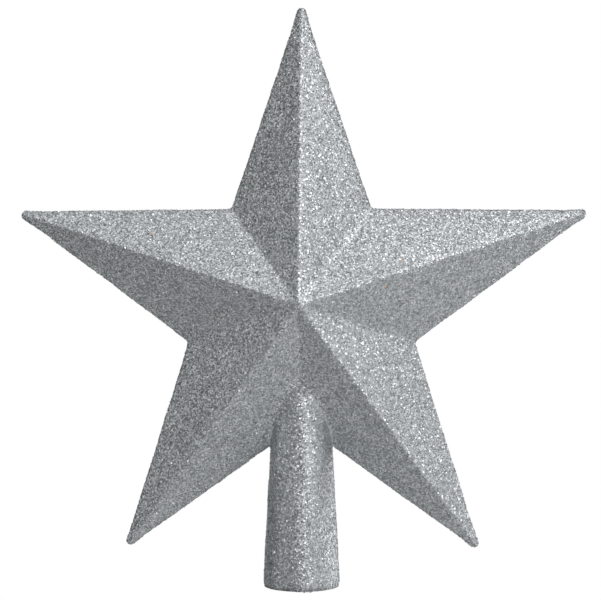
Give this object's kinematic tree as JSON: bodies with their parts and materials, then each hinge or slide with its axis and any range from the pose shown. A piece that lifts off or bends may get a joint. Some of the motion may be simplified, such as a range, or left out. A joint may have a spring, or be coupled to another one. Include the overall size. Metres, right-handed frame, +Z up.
{
  "type": "tree topper star",
  "caption": "Hollow five-pointed faceted star with a tapered round socket below it, coated all over in silver glitter.",
  "frame": {"origin": "centre of the socket's mouth, in the plane of its rim", "axes": "+Z up along the socket's axis to the top point, -Y towards the front face, +X to the right of it"},
  "size_m": [0.1856, 0.044, 0.1895],
  "materials": {
    "front_shell": "moulded, silver-grey",
    "rear_shell": "moulded, silver-grey",
    "socket_tube": "moulded, silver-grey",
    "seam_cement": "cured solvent cement",
    "adhesive_coat": "silver-tinted lacquer film",
    "glitter_coat": "silver metallised polyester glitter"
  },
  "bodies": {
    "root": {"front_shell": "front_shell", "rear_shell": "rear_shell", "socket_tube": "socket_tube", "seam_cement": "seam_cement", "adhesive_coat": "adhesive_coat", "glitter_coat": "glitter_coat"}
  },
  "joints": []
}
